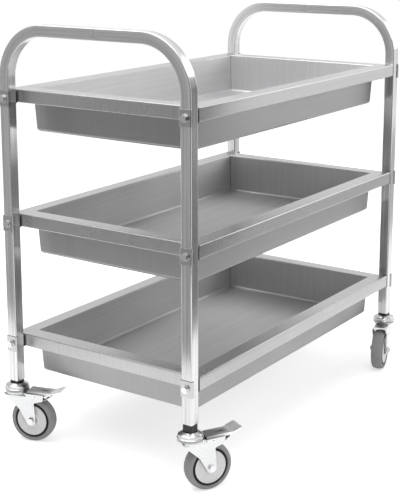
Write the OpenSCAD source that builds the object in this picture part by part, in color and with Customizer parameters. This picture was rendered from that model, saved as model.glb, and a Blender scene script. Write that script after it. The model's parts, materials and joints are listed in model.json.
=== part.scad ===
// Three-tier serving trolley: two bent square-tube end frames, three deep folded
// pans bolted between them, and four swivel casters, two of them with a brake pedal.
// Origin: on the floor, under the middle of the trolley. +X runs along the trays,
// -Y is the near long side, +Z is up. Millimetres.

/* [Frame] */
// Length over the outer faces of the two end frames
frame_l = 900; // [700:10:1200]
// Depth over the outer faces of the legs
frame_d = 490; // [420:5:600]
// Height of the top of the handles above the floor
frame_h = 920; // [800:5:1100]
// Width of the square tube
tube_w = 25; // [24:0.5:28]
// Wall of the square tube
tube_wall = 1.2; // [1:0.1:1.5]
// Outside radius along the edges of the square tube
tube_edge_r = 2.5; // [2:0.1:3]
// Radius of the handle bends, at the middle of the tube
handle_r = 105; // [70:5:120]

/* [Trays] */
// Drop from the top of the handles to the rim of the top tray
top_drop = 140; // [125:5:150]
// Height of the bottom tray's rim above the floor
bottom_rim_h = 240; // [230:5:280]
// Depth of a tray, from its rim to the underside of its pan
tray_depth = 95; // [60:1:110]
// Thickness of the tray sheet
sheet = 1.2; // [0.8:0.1:1.5]
// Width of the flat rim around the pan
rim_w = 34; // [30:1:45]
// Height of the outer skirt
skirt_h = 29; // [28:1:40]
// Width of the hem turned in under the skirt
hem_w = 9; // [6:1:12]
// How far each pan wall leans in from rim to floor
wall_lean = 5; // [0:0.5:12]
// Bend radius at the rim edges
rim_bend_r = 3; // [2:0.5:5]
// Bend radius between the pan walls and the pan floor
floor_bend_r = 6; // [3:0.5:12]

/* [Tray fixings] */
// Thickness of the saddle clip that wraps the leg under each bolt head
clip_t = 2; // [1:0.1:3]
// Height of the saddle clip
clip_h = 34; // [28:1:40]
// Depth of the clip's two wings along the sides of the leg
clip_wing = 6.5; // [4:0.5:12]
// Thickness of the pad between the leg and the tray
pad_t = 3; // [2:0.5:5]
// Height and width of the pad
pad_w = 25; // [20:1:28]
// Depth of the bolt axis below the tray rim
bolt_drop = 18; // [15:0.5:18]
// Diameter of the tray bolts
bolt_d = 8; // [6:0.5:8]
// Width across the flats of the tray bolt heads and nuts
bolt_flats = 13; // [12:0.5:14]
// Height of the tray bolt heads
bolt_head_h = 5.3; // [4:0.1:6]
// Height of the tray nuts
nut_h = 6.5; // [5:0.5:8]
// Diameter of the washers
washer_d = 17; // [15:0.5:19]
// Thickness of the washers
washer_t = 1.6; // [1:0.1:2]

/* [Casters] */
// Diameter of the wheels
wheel_d = 100; // [90:1:110]
// Width of the tyres
tyre_w = 27; // [24:1:28]
// Height of the tyre section, from wheel centre to tread
tyre_t = 11; // [10:0.5:14]
// Distance from the swivel axis back to the wheel axle
trail = 39; // [34:1:42]
// Gap between the fork legs
fork_gap = 33; // [30:0.5:34]
// Thickness of the fork sheet
fork_t = 2.5; // [2:0.1:3]
// Outside radius of the bend between the fork's crown and its legs
fork_bend_r = 8; // [5:0.5:9]
// Radius of the rounded fork ends around the axle
fork_boss_r = 11; // [9:0.5:13]
// Reach of a plain fork behind the swivel axis
plain_reach = 56; // [52:1:70]
// Reach of a braked fork behind the swivel axis
braked_reach = 70; // [66:1:76]
// Clearance between the tyre and the underside of the fork crown
crown_gap = 9.5; // [7:0.5:12]
// Height of the lower swivel race
race_h = 5; // [4:0.5:7]
// Outside radius of the dust cap's lip
cap_r = 27.3; // [25:0.1:28]
// Height of the dust cap
cap_h = 13.5; // [11:0.5:16]
// Number of balls in each swivel race
ball_n = 18; // [12:1:18]
// Radius of the balls
ball_r = 2.2; // [1.5:0.1:2.4]
// Diameter of the swivel stem
stem_d = 10; // [8:0.5:11]
// Diameter of the wheel axle
axle_d = 8; // [6:0.5:8]
// Outside diameter of the sleeve that the wheel turns on
sleeve_d = 12; // [11:0.5:13]
// Length of plug that shows between the cap and the tube
plug_show = 6; // [3:1:12]
// Length that shows more on the near left caster, which sits lower in its tube
near_left_extra = 10; // [0:1:14]
// Length of plug inside the tube
plug_depth = 35; // [25:1:50]
// Heading of the near left caster, from +X towards +Y
near_left_turn = -28; // [-180:1:180]
// Heading of the far left caster
far_left_turn = -73; // [-180:1:180]
// Heading of the near right caster
near_right_turn = -166; // [-180:1:180]
// Heading of the far right caster
far_right_turn = 138; // [-180:1:180]

/* [Brakes] */
// Thickness of the lever sheet
lever_t = 2; // [1.5:0.1:2.5]
// Width of the pedal at the lever's end
pedal_w = 38; // [32:1:44]
// Length of the pedal
pedal_l = 23; // [15:1:30]
// Angle of the pedal above the lever
pedal_tilt = 19; // [10:1:30]
// Distance from the swivel axis to the end of the straight lever
lever_reach = 86; // [84:1:92]
// Height of the lever's side flanges
flange_h = 6; // [4:0.5:7]
// Distance from the swivel axis to the lever pivot
pivot_r = 46; // [44:0.5:50]
// Diameter of the pivot pin
pivot_d = 5; // [4:0.5:5.5]
// Thickness of the spring leaf that presses on the tyre
leaf_t = 2; // [1:0.1:2.5]
// Place on the tyre that the leaf presses, as an angle behind the top of the wheel
leaf_place = 32; // [28:1:38]
// Angle that the lever turns through from off to on
brake_turn = 12; // [8:1:13]

/* [Hidden] */
$fn = 64;

// Clearances
slip = 0.06;         // radial, shaft in a bore that it turns in
fixed_gap = 0.05;    // radial, pieces seated in each other
plug_gap = 0.2;      // between a plug and the inside of the tube
swivel_gap = 0.5;    // between the turning race and the fixed cap
stem_head_gap = 0.3; // between the stem's head and the crown above it
bolt_play = 0.3;     // radial, bolt in its clearance hole
hub_gap = 0.7;       // between the hub's end and the fork leg
lever_gap = 0.5;     // between the lever and the fork leg
brake_gap = 0.3;     // between leaf and tyre with the brake on
over = 1;            // how far a cut runs past a face

// Frame
leg_x = frame_l/2 - tube_w/2;
leg_y = frame_d/2 - tube_w/2;
bend_z = frame_h - tube_w/2 - handle_r;
bend_y = leg_y - handle_r;
bore_w = tube_w - 2*tube_wall;

// Trays, top to bottom
TRAYS = [0, 1, 2];
SIDES = [-1, 1];
tray_pitch = (frame_h - top_drop - bottom_rim_h)/(len(TRAYS) - 1);
function rim_z(i) = frame_h - top_drop - i*tray_pitch;
function bolt_z(i) = rim_z(i) - bolt_drop;
tray_x = frame_l/2 - tube_w - pad_t;
tray_y = frame_d/2;
well_x = tray_x - rim_w;
well_y = tray_y - rim_w;
well_depth = tray_depth - sheet;
lean = atan(wall_lean/well_depth);

// Tray fixings
bolt_r = bolt_d/2;
bolt_hole_r = bolt_r + bolt_play;
hex_r = bolt_flats/2/cos(30);
bolt_tail = 3;
bolt_grip = washer_t + clip_t + tube_w + pad_t + sheet + washer_t;
bolt_l = bolt_grip + nut_h + bolt_tail;
clip_x = frame_l/2 + clip_t;
clip_edge_r = 3;
clip_inner_r = 1;
pad_edge_r = 3;
hex_top = 0.93;

// Caster heights
wheel_r = wheel_d/2;
axle_z = wheel_r;
crown_under = wheel_d + crown_gap;
crown_top = crown_under + fork_t;
race_top = crown_top + race_h;
cap_z = race_top + swivel_gap;
seat_z = cap_z + cap_h;
tube_end = seat_z + plug_show;
plug_top = tube_end + plug_depth;

// Swivel
plug_w = bore_w - 2*plug_gap;
plug_edge_r = 2;
stem_r = stem_d/2;
stem_head_r = stem_r + 3.5;
stem_head_h = 5;
stem_head_taper = 1.5;
stem_tail = 3;
cone_h = 8;
cone_r = 9;
cone_taper = 2;
ball_path_r = 20;
groove_gap = 0.15;
ball_groove_r = ball_r + groove_gap;
race_inset = 1;
race_r = cap_r - race_inset;
race_edge = 1;
race_bore_r = stem_r + 1.2;
crown_inset = 2.3;
crown_r = cap_r - crown_inset;
cap_lip_h = 2;
cap_edge = 0.5;
cap_neck = 1.8;
cap_neck_z = 3.2;
cap_shoulder_z = cap_h - 6;
cap_chamfer = 1.4;
cap_seat_r = plug_w*0.7;

// Fork, seen from its side
fork_half = fork_gap/2 + fork_t;
nose_inset = 1;
nose_r = crown_r - nose_inset;
nose_h = 4;
knee_ahead = 27.4;
knee_rise = 25.6;
knee = [trail - knee_ahead, axle_z + knee_rise];
throat_back = 8;
throat_drop = 20;
throat = [trail + throat_back, crown_top - throat_drop];
throat_r = 4;
heel_back = 2;
heel_drop = 14;
toe_drop = 2;
crown_end = cap_r + 1;

// Wheel
axle_r = axle_d/2;
sleeve_r = sleeve_d/2;
hub_r = 11;
hub_half = fork_gap/2 - hub_gap;
seat_r = wheel_r - tyre_t;
rim_half = tyre_w/2 - 1.2;
web_half = 3;
web_gap = 2;
rib_n = 6;
rib_t = 2.4;
rib_h = 4;
rim_show = 3.7;
cover_r = seat_r - rim_show;
cover_face = tyre_w/2 - 0.3;
cover_t = 2;
cover_bead = 2;
cover_edge = 0.5;
cover_skirt = 6;
cover_dish = 1.4;
cover_eye = 3;
cover_eye_h = 0.6;
shoulder_r = 5;
tread_r = 40;
axle_flats = 13;
axle_hex_r = axle_flats/2/cos(30);
axle_head_h = 5.3;
axle_nut_h = 7.5;
axle_nut_hex_h = 5.5;
nut_collar = 1.6;
axle_tail = 1.5;

// Brake
lever_w = fork_gap - 2*lever_gap;
lever_top = race_top;
lever_under = lever_top - lever_t;
lever_in = cap_r + 2.2;
pivot = [pivot_r, crown_top - 5.5];
pivot_pin_r = pivot_d/2;
pivot_head_r = pivot_pin_r + 1.7;
pivot_head_h = 1.6;
pivot_head_taper = 1.2;
ear_r = pivot_pin_r + 3;
knuckle_r = 3;
knuckle = [lever_reach, lever_top + knuckle_r];
bend_steps = 8;
pedal_edge_r = 3.5;
keyhole_back = 24;
keyhole_x = pivot_r + keyhole_back;
keyhole_r = 3;
slot_l = 12;
slot_w = 3;
leaf_w = lever_w - 2*lever_t - 2*lever_gap;
leaf_bend_r = 3;
leaf_bend = [lever_reach - 6, lever_under - leaf_t - leaf_bend_r];
leaf_mid_r = leaf_bend_r + leaf_t/2;
leaf_seat_l = 20;

// The centre of the leaf's rounded end, with the brake on and off, and the angle round the
// bend at which the leaf runs straight to it
function turned(p, a) = [p[0]*cos(a) - p[1]*sin(a), p[0]*sin(a) + p[1]*cos(a)];
leaf_on = [trail, axle_z] + (wheel_r + brake_gap + leaf_t/2)*[sin(leaf_place), cos(leaf_place)];
leaf_off = pivot + turned(leaf_on - pivot, brake_turn);
leaf_span = leaf_off - leaf_bend;
leaf_l = sqrt(leaf_span*leaf_span - leaf_mid_r*leaf_mid_r);
leaf_turn = atan2(leaf_span[1], leaf_span[0]) + acos(leaf_mid_r/norm(leaf_span));

// Casters: side along X, side along Y, heading, braked
CASTERS = [
    [-1, -1, near_left_turn, true],
    [-1, 1, far_left_turn, true],
    [1, -1, near_right_turn, false],
    [1, 1, far_right_turn, false]
];
NEAR_LEFT = 0;
FAR_LEFT = 1;
NEAR_RIGHT = 2;
FAR_RIGHT = 3;

// Finishes
sheet_grey = [0.72, 0.73, 0.74];
tube_grey = [0.66, 0.67, 0.68];
bolt_grey = [0.8, 0.8, 0.8];
zinc = [0.86, 0.87, 0.88];
black = [0.1, 0.1, 0.1];
pale_grey = [0.84, 0.84, 0.83];
rubber_grey = [0.45, 0.45, 0.46];

// Shape helpers

// A section drawn in Y and Z, extruded along X
module along_x(l) rotate([90, 0, 90]) linear_extrude(l, center = true) children();

// A section drawn in X and Z, extruded along Y
module along_y(l) rotate([90, 0, 0]) linear_extrude(l, center = true) children();

// A rectangle with round corners
module soft_rect(w, d, r) {
    square([w - 2*r, d], center = true);
    square([w, d - 2*r], center = true);
    for (x = SIDES, y = SIDES)
        translate([x*(w/2 - r), y*(d/2 - r)]) circle(r);
}

// A rectangle of half width a hanging from y = 0, with its two upper corners round
module hung_rect(a, h, r) {
    translate([-a, -h]) square([2*a, h - r]);
    translate([-a + r, -h]) square([2*a - 2*r, h]);
    for (x = SIDES) translate([x*(a - r), -r]) circle(r);
}

// A hexagonal head or nut along Z, with its outer corners turned off
module hex(r, h) {
    intersection() {
        cylinder(h = h, r = r, $fn = 6);
        cylinder(h = h, r1 = r + h, r2 = r*hex_top);
    }
}

// A ring along Z
module ring(h, r, bore) {
    difference() {
        cylinder(h = h, r = r);
        translate([0, 0, -over]) cylinder(h = h + 2*over, r = bore);
    }
}

// The point where a line from p touches the circle of radius r around c, on one side of it
function touch(p, c, r, side) =
    let (away = atan2(p[1] - c[1], p[0] - c[0]), swing = side*acos(r/norm(p - c)))
    c + r*[cos(away + swing), sin(away + swing)];

// Fills the inside corner at v, between the edges that run to a and b, to a radius r
module inside_fillet(v, a, b, r) {
    u = (a - v)/norm(a - v);
    w = (b - v)/norm(b - v);
    half = acos(u*w)/2;
    middle = (u + w)/norm(u + w);
    centre = v + middle*r/sin(half);
    reach = r/tan(half);
    difference() {
        polygon([v - middle*over, v + u*reach, centre, v + w*reach]);
        translate(centre) circle(r);
    }
}

// Points round a small bend, from one angle to the next
function arc(c, r, from, to) = [
    for (i = [0:bend_steps]) let (a = from + (to - from)*i/bend_steps) c + r*[cos(a), sin(a)]
];

// End frames: one tube, bent twice, with a leg down each side

module tube_section() {
    difference() {
        soft_rect(tube_w, tube_w, tube_edge_r);
        soft_rect(bore_w, bore_w, tube_edge_r - tube_wall);
    }
}

module end_frame(side) {
    color(tube_grey)
    translate([side*leg_x, 0, 0])
    difference() {
        union() {
            for (y = SIDES) {
                start = tube_end + (side < 0 && y < 0 ? near_left_extra : 0);
                translate([0, y*leg_y, start]) linear_extrude(bend_z - start) tube_section();
            }
            for (m = [0, 1]) mirror([0, m, 0])
                translate([0, bend_y, bend_z]) rotate([90, 0, 90])
                    rotate_extrude(angle = 90) translate([handle_r, 0]) tube_section();
            translate([0, 0, frame_h - tube_w/2]) along_y(2*bend_y) tube_section();
        }
        for (i = TRAYS, y = SIDES)
            translate([0, y*leg_y, bolt_z(i)]) rotate([0, 90, 0])
                cylinder(h = tube_w + 2*over, r = bolt_hole_r, center = true);
    }
}

// Trays

// Half of the pan's section, from its middle to its wall. grow is 0 for the inside of the
// pan and the sheet's thickness for the outside.
module half_pan(a, grow) {
    bend = rim_bend_r - grow;
    wall = [a, -rim_bend_r] + bend*[-cos(lean), sin(lean)];
    corner_r = floor_bend_r + grow;
    corner_z = -well_depth + floor_bend_r;
    corner_x = wall[0] - (corner_r - sin(lean)*(corner_z - wall[1]))/cos(lean);
    top = grow > 0 ? -grow/2 : over;
    difference() {
        polygon([
            [0, top], [a, top], [a, -grow], wall,
            [corner_x + corner_r*cos(lean), corner_z - corner_r*sin(lean)],
            [corner_x, corner_z - corner_r], [0, corner_z - corner_r]
        ]);
        translate([a, -rim_bend_r]) circle(bend);
    }
    intersection() {
        translate([corner_x, corner_z]) circle(corner_r);
        translate([0, -well_depth - grow]) square([a, well_depth]);
    }
}

module pan_section(a, grow) for (m = [0, 1]) mirror([m, 0]) half_pan(a, grow);

module pan(grow) {
    intersection() {
        along_x(2*tray_x) pan_section(well_y, grow);
        along_y(2*tray_y) pan_section(well_x, grow);
    }
}

// A shallow block whose upper and upright edges are bent round
module folded_block(x, y, h, r) {
    intersection() {
        along_x(2*x) hung_rect(y, h, r);
        along_y(2*y) hung_rect(x, h, r);
        translate([0, 0, -h]) linear_extrude(h) soft_rect(2*x, 2*y, r);
    }
}

module tray(i) {
    color(sheet_grey)
    translate([0, 0, rim_z(i)])
    difference() {
        union() {
            difference() {
                folded_block(tray_x, tray_y, skirt_h, rim_bend_r);
                translate([0, 0, -sheet])
                    folded_block(tray_x - sheet, tray_y - sheet, skirt_h - 2*sheet, rim_bend_r - sheet);
                translate([0, 0, -skirt_h])
                    cube([2*(tray_x - hem_w), 2*(tray_y - hem_w), 4*sheet], center = true);
            }
            pan(sheet);
        }
        pan(0);
        for (x = SIDES, y = SIDES)
            translate([x*tray_x, y*leg_y, -bolt_drop]) rotate([0, 90, 0])
                cylinder(h = 4*sheet + 2*over, r = bolt_hole_r, center = true);
    }
}

// Tray fixings. Each is drawn at a right-hand leg, looking along +X, and turned to its place.

module at_fixings() {
    for (i = TRAYS, side = SIDES, y = SIDES)
        translate([0, y*leg_y, bolt_z(i)]) rotate([0, 0, side > 0 ? 0 : 180]) children();
}

module saddle_clips() {
    color(bolt_grey)
    at_fixings() {
        difference() {
            translate([0, 0, -clip_h/2]) linear_extrude(clip_h)
                intersection() {
                    difference() {
                        translate([clip_x - tube_w/2, 0]) soft_rect(tube_w, tube_w + 2*clip_t, clip_edge_r);
                        translate([frame_l/2 - tube_w/2, 0]) soft_rect(tube_w, tube_w, clip_inner_r);
                    }
                    translate([frame_l/2 - clip_wing, -tube_w]) square([clip_wing + clip_t + over, 2*tube_w]);
                }
            translate([frame_l/2, 0, 0]) rotate([0, 90, 0])
                cylinder(h = 2*clip_t + 2*over, r = bolt_hole_r, center = true);
        }
    }
}

module spacer_pads() {
    color(black)
    at_fixings()
        translate([tray_x + pad_t/2, 0, 0]) along_x(pad_t)
            difference() {
                soft_rect(min(pad_w, tube_w), pad_w, pad_edge_r);
                circle(bolt_hole_r);
            }
}

module tray_bolts() {
    color(bolt_grey)
    at_fixings()
        translate([clip_x + washer_t, 0, 0]) rotate([0, 90, 0]) {
            hex(hex_r, bolt_head_h);
            translate([0, 0, -bolt_l]) cylinder(h = bolt_l, r = bolt_r);
        }
}

module bolt_washers() {
    color(bolt_grey)
    at_fixings()
        for (x = [clip_x, tray_x - sheet - washer_t])
            translate([x, 0, 0]) rotate([0, 90, 0]) ring(washer_t, washer_d/2, bolt_hole_r);
}

module tray_nuts() {
    color(bolt_grey)
    at_fixings()
        translate([tray_x - sheet - washer_t, 0, 0]) rotate([0, -90, 0])
            difference() {
                hex(hex_r, nut_h);
                translate([0, 0, -over]) cylinder(h = nut_h + 2*over, r = bolt_r + fixed_gap);
            }
}

// Fixed half of the casters

module at_leg(c) translate([c[0]*leg_x, c[1]*leg_y, 0]) children();

module stem_plugs() {
    color(black)
    for (c = CASTERS) at_leg(c)
        translate([0, 0, seat_z])
            difference() {
                linear_extrude(plug_top - seat_z) soft_rect(plug_w, plug_w, plug_edge_r);
                translate([0, 0, -over]) cylinder(h = plug_top - seat_z + 2*over, r = stem_r + fixed_gap);
            }
}

module expander_cones() {
    color(zinc)
    for (c = CASTERS) at_leg(c)
        translate([0, 0, plug_top])
            difference() {
                cylinder(h = cone_h, r1 = cone_r, r2 = cone_r - cone_taper);
                translate([0, 0, -over]) cylinder(h = cone_h + 2*over, r = stem_r + fixed_gap);
            }
}

module stem_bolts() {
    head_top = crown_under - stem_head_gap;
    stem_top = plug_top + cone_h + stem_tail;
    color(zinc)
    for (c = CASTERS) at_leg(c) {
        translate([0, 0, head_top]) cylinder(h = stem_top - head_top, r = stem_r);
        translate([0, 0, head_top - stem_head_h])
            cylinder(h = stem_head_h, r1 = stem_head_r - stem_head_taper, r2 = stem_head_r);
    }
}

module ball_groove() {
    rotate_extrude() translate([ball_path_r, 0]) circle(ball_groove_r);
}

module dust_caps() {
    bore = stem_r + fixed_gap;
    neck_r = cap_r - cap_neck;
    color(zinc)
    for (c = CASTERS) at_leg(c)
        translate([0, 0, cap_z])
            difference() {
                rotate_extrude()
                    polygon([
                        [bore, 0], [cap_r - cap_edge, 0], [cap_r, cap_edge], [cap_r, cap_lip_h],
                        [neck_r, cap_neck_z], [neck_r, cap_shoulder_z],
                        [neck_r - cap_chamfer, cap_shoulder_z + cap_chamfer],
                        [cap_seat_r, cap_h], [bore, cap_h]
                    ]);
                translate([0, 0, -swivel_gap/2]) ball_groove();
            }
}

module race_balls() {
    color(zinc)
    for (c = CASTERS) at_leg(c)
        for (k = [0:ball_n - 1])
            translate([ball_path_r*cos(360*k/ball_n), ball_path_r*sin(360*k/ball_n), race_top + swivel_gap/2])
                sphere(ball_r, $fn = 24);
}

// Turning half of the casters. Each piece is drawn with its swivel axis on Z and its wheel
// trailing along +X, and placed by turned_at().

module turned_at(k) at_leg(CASTERS[k]) rotate([0, 0, CASTERS[k][2]]) children();

module at_axle() translate([trail, 0, axle_z]) rotate([90, 0, 0]) children();

// The fork seen from its side
module fork_outline(reach) {
    axle = [trail, axle_z];
    front = touch(knee, axle, fork_boss_r, 1);
    back = touch(throat, axle, fork_boss_r, -1);
    heel = [reach - heel_back, crown_top - heel_drop];
    polygon([
        [-nose_r, crown_top], [-nose_r, crown_top - nose_h], knee, front, axle, back,
        throat, heel, [reach, crown_top - toe_drop], [reach, crown_top]
    ]);
    translate(axle) circle(fork_boss_r);
    inside_fillet(throat, back, heel, throat_r);
}

// The fork seen from behind: a crown bent down into two legs
module channel_section() {
    difference() {
        hung_rect(fork_half, crown_top, fork_bend_r);
        translate([0, -fork_t]) hung_rect(fork_gap/2, crown_top, fork_bend_r - fork_t);
    }
}

// A braked fork's crown stops at the swivel, and its legs run on as two flat plates
module fork_sheet(braked) {
    crown_x = braked ? crown_end : plain_reach;
    translate([0, 0, crown_top]) {
        translate([(crown_x - nose_r)/2, 0, 0]) along_x(crown_x + nose_r) channel_section();
        if (braked)
            for (m = [0, 1]) mirror([0, m, 0])
                translate([crown_x, fork_gap/2, -crown_top])
                    cube([braked_reach - crown_x, fork_t, crown_top]);
    }
}

module fork(k) {
    braked = CASTERS[k][3];
    color(zinc)
    turned_at(k)
    difference() {
        union() {
            intersection() {
                fork_sheet(braked);
                along_y(2*fork_half + over) fork_outline(braked ? braked_reach : plain_reach);
            }
            translate([0, 0, crown_under]) cylinder(h = fork_t, r = crown_r);
        }
        cylinder(h = crown_top + over, r = stem_r + slip);
        at_axle() cylinder(h = 2*fork_half + over, r = axle_r + fixed_gap, center = true);
        if (braked) at_pivot() cylinder(h = 2*fork_half + over, r = pivot_pin_r + fixed_gap, center = true);
    }
}

module race(k) {
    color(zinc)
    turned_at(k)
    translate([0, 0, crown_top])
    difference() {
        rotate_extrude()
            polygon([
                [race_bore_r, 0], [race_r - race_edge, 0], [race_r, race_edge],
                [race_r, race_h - race_edge], [race_r - race_edge, race_h], [race_bore_r, race_h]
            ]);
        translate([0, 0, race_h + swivel_gap/2]) ball_groove();
    }
}

module axle_bolt(k) {
    shank_l = 2*fork_half + axle_nut_h + axle_tail;
    color(bolt_grey)
    turned_at(k) at_axle() translate([0, 0, fork_half]) {
        hex(axle_hex_r, axle_head_h);
        translate([0, 0, -shank_l]) cylinder(h = shank_l, r = axle_r);
    }
}

module axle_nut(k) {
    color(bolt_grey)
    turned_at(k) at_axle() mirror([0, 0, 1]) translate([0, 0, fork_half])
        difference() {
            union() {
                hex(axle_hex_r, axle_nut_hex_h);
                cylinder(h = axle_nut_h, r = axle_r + nut_collar);
            }
            translate([0, 0, -over]) cylinder(h = axle_nut_h + 2*over, r = axle_r + fixed_gap);
        }
}

module axle_sleeve(k) {
    color(bolt_grey)
    turned_at(k) at_axle() translate([0, 0, -fork_gap/2]) ring(fork_gap, sleeve_r, axle_r + fixed_gap);
}

module wheel_centre(k) {
    rib_half = web_half + rib_h;
    color(black)
    turned_at(k) at_axle()
        difference() {
            union() {
                cylinder(h = 2*hub_half, r = hub_r, center = true);
                cylinder(h = 2*web_half, r = seat_r - web_gap, center = true);
                translate([0, 0, -rim_half]) ring(2*rim_half, seat_r, cover_r + fixed_gap);
                for (n = [0:rib_n - 1]) rotate([0, 0, 360*n/rib_n])
                    translate([hub_r - over, -rib_t/2, -rib_half]) cube([cover_r - hub_r, rib_t, 2*rib_half]);
            }
            cylinder(h = 2*hub_half + over, r = sleeve_r + slip, center = true);
        }
}

module wheel_covers(k) {
    bore = hub_r + fixed_gap;
    eye = cover_face + cover_eye_h;
    dish = cover_face - cover_dish;
    color(pale_grey)
    turned_at(k) at_axle()
        for (m = [0, 1]) mirror([0, 0, m])
            rotate_extrude()
                polygon([
                    [bore, dish - cover_t/2], [cover_r - cover_bead, dish - cover_t/2],
                    [cover_r - cover_bead, cover_face - cover_skirt], [cover_r, cover_face - cover_skirt],
                    [cover_r, cover_face - cover_edge], [cover_r - cover_edge, cover_face],
                    [cover_r - cover_bead, cover_face], [cover_r - cover_bead - cover_dish, dish + cover_edge],
                    [hub_r + 2*cover_eye, dish], [hub_r + cover_eye, eye], [bore, eye]
                ]);
}

module tyre_section() {
    half = tyre_w/2;
    inner = seat_r + fixed_gap;
    flat = half - shoulder_r;
    shoulder = wheel_r - (tread_r - sqrt(tread_r*tread_r - flat*flat)) - shoulder_r;
    translate([inner, -half]) square([shoulder - inner, tyre_w]);
    for (y = SIDES) translate([shoulder, y*flat]) circle(shoulder_r);
    intersection() {
        translate([inner, -flat]) square([tyre_t, 2*flat]);
        translate([wheel_r - tread_r, 0]) circle(tread_r, $fn = 128);
    }
}

module tyre(k) {
    color(rubber_grey)
    turned_at(k) at_axle() rotate_extrude($fn = 96) tyre_section();
}

// Brakes

module at_pivot() translate([pivot[0], 0, pivot[1]]) rotate([90, 0, 0]) children();

// One side of the lever: a flange along its length, with an ear round the pivot
module lever_side() {
    translate([lever_in, lever_top - flange_h]) square([lever_reach - lever_in, flange_h]);
    translate([pivot[0] - ear_r, pivot[1]]) square([2*ear_r, lever_top - pivot[1]]);
    translate(pivot) circle(ear_r);
}

// The lever's top plate from its inner end to the knuckle, and the pedal that rises from it
module lever_plate() {
    along = [cos(pedal_tilt), sin(pedal_tilt)];
    low = arc(knuckle, knuckle_r + lever_t, -90, pedal_tilt - 90);
    high = arc(knuckle, knuckle_r, pedal_tilt - 90, -90);
    low_end = low[bend_steps];
    rise = [low_end, low_end + pedal_l*along, high[0] + pedal_l*along, high[0]];
    along_y(lever_w) polygon(concat([[lever_in, lever_under]], low, rise, high, [[lever_in, lever_top]]));
    intersection() {
        along_y(pedal_w) polygon(rise);
        linear_extrude(frame_h)
            translate([(high[0][0] + rise[1][0])/2, 0])
                soft_rect(rise[1][0] - high[0][0], pedal_w, pedal_edge_r);
    }
}

// The keyhole in the lever and in the leaf below it
module keyhole() {
    low = lever_under - leaf_t - over;
    deep = lever_t + leaf_t + 2*over;
    translate([keyhole_x, 0, low]) cylinder(h = deep, r = keyhole_r);
    translate([keyhole_x - slot_l, -slot_w/2, low]) cube([slot_l, slot_w, deep]);
}

module brake_lever(k) {
    color(zinc)
    turned_at(k)
    difference() {
        union() {
            lever_plate();
            for (m = [0, 1]) mirror([0, m, 0])
                translate([0, lever_w/2 - lever_t/2, 0]) along_y(lever_t) lever_side();
        }
        keyhole();
        at_pivot() cylinder(h = lever_w + over, r = pivot_pin_r + slip, center = true);
    }
}

// A spring leaf under the lever, folded back at its end to reach the tyre
module brake_leaf(k) {
    seat_x = leaf_bend[0] - leaf_seat_l;
    color(zinc)
    turned_at(k)
    difference() {
        along_y(leaf_w)
            polygon(concat(
                [[seat_x, lever_under - leaf_t], [seat_x, lever_under]],
                arc(leaf_bend, leaf_bend_r + leaf_t, 90, leaf_turn),
                arc(leaf_off, leaf_t/2, leaf_turn, leaf_turn - 180),
                arc(leaf_bend, leaf_bend_r, leaf_turn, 90)
            ));
        keyhole();
    }
}

module lever_pin(k) {
    color(bolt_grey)
    turned_at(k) at_pivot() {
        cylinder(h = 2*fork_half, r = pivot_pin_r, center = true);
        for (m = [0, 1]) mirror([0, 0, m])
            translate([0, 0, fork_half])
                cylinder(h = pivot_head_h, r1 = pivot_head_r, r2 = pivot_head_r - pivot_head_taper);
    }
}

// Assembly
end_frame(-1);  // end_frame_left
end_frame(1);  // end_frame_right
tray(0);  // tray_top
tray(1);  // tray_middle
tray(2);  // tray_bottom
saddle_clips();
spacer_pads();
tray_bolts();
bolt_washers();
tray_nuts();
stem_plugs();
stem_bolts();
expander_cones();
dust_caps();
race_balls();
fork(NEAR_LEFT);  // fork_near_left
race(NEAR_LEFT);  // race_near_left
axle_bolt(NEAR_LEFT);  // axle_bolt_near_left
axle_nut(NEAR_LEFT);  // axle_nut_near_left
axle_sleeve(NEAR_LEFT);  // axle_sleeve_near_left
wheel_centre(NEAR_LEFT);  // wheel_centre_near_left
wheel_covers(NEAR_LEFT);  // wheel_covers_near_left
tyre(NEAR_LEFT);  // tyre_near_left
fork(FAR_LEFT);  // fork_far_left
race(FAR_LEFT);  // race_far_left
axle_bolt(FAR_LEFT);  // axle_bolt_far_left
axle_nut(FAR_LEFT);  // axle_nut_far_left
axle_sleeve(FAR_LEFT);  // axle_sleeve_far_left
wheel_centre(FAR_LEFT);  // wheel_centre_far_left
wheel_covers(FAR_LEFT);  // wheel_covers_far_left
tyre(FAR_LEFT);  // tyre_far_left
fork(NEAR_RIGHT);  // fork_near_right
race(NEAR_RIGHT);  // race_near_right
axle_bolt(NEAR_RIGHT);  // axle_bolt_near_right
axle_nut(NEAR_RIGHT);  // axle_nut_near_right
axle_sleeve(NEAR_RIGHT);  // axle_sleeve_near_right
wheel_centre(NEAR_RIGHT);  // wheel_centre_near_right
wheel_covers(NEAR_RIGHT);  // wheel_covers_near_right
tyre(NEAR_RIGHT);  // tyre_near_right
fork(FAR_RIGHT);  // fork_far_right
race(FAR_RIGHT);  // race_far_right
axle_bolt(FAR_RIGHT);  // axle_bolt_far_right
axle_nut(FAR_RIGHT);  // axle_nut_far_right
axle_sleeve(FAR_RIGHT);  // axle_sleeve_far_right
wheel_centre(FAR_RIGHT);  // wheel_centre_far_right
wheel_covers(FAR_RIGHT);  // wheel_covers_far_right
tyre(FAR_RIGHT);  // tyre_far_right
brake_lever(NEAR_LEFT);  // brake_lever_near_left
brake_leaf(NEAR_LEFT);  // brake_leaf_near_left
lever_pin(NEAR_LEFT);  // lever_pin_near_left
brake_lever(FAR_LEFT);  // brake_lever_far_left
brake_leaf(FAR_LEFT);  // brake_leaf_far_left
lever_pin(FAR_LEFT);  // lever_pin_far_left
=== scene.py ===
"""Finishes a three-tier stainless steel serving trolley around its fixed construction."""

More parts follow.
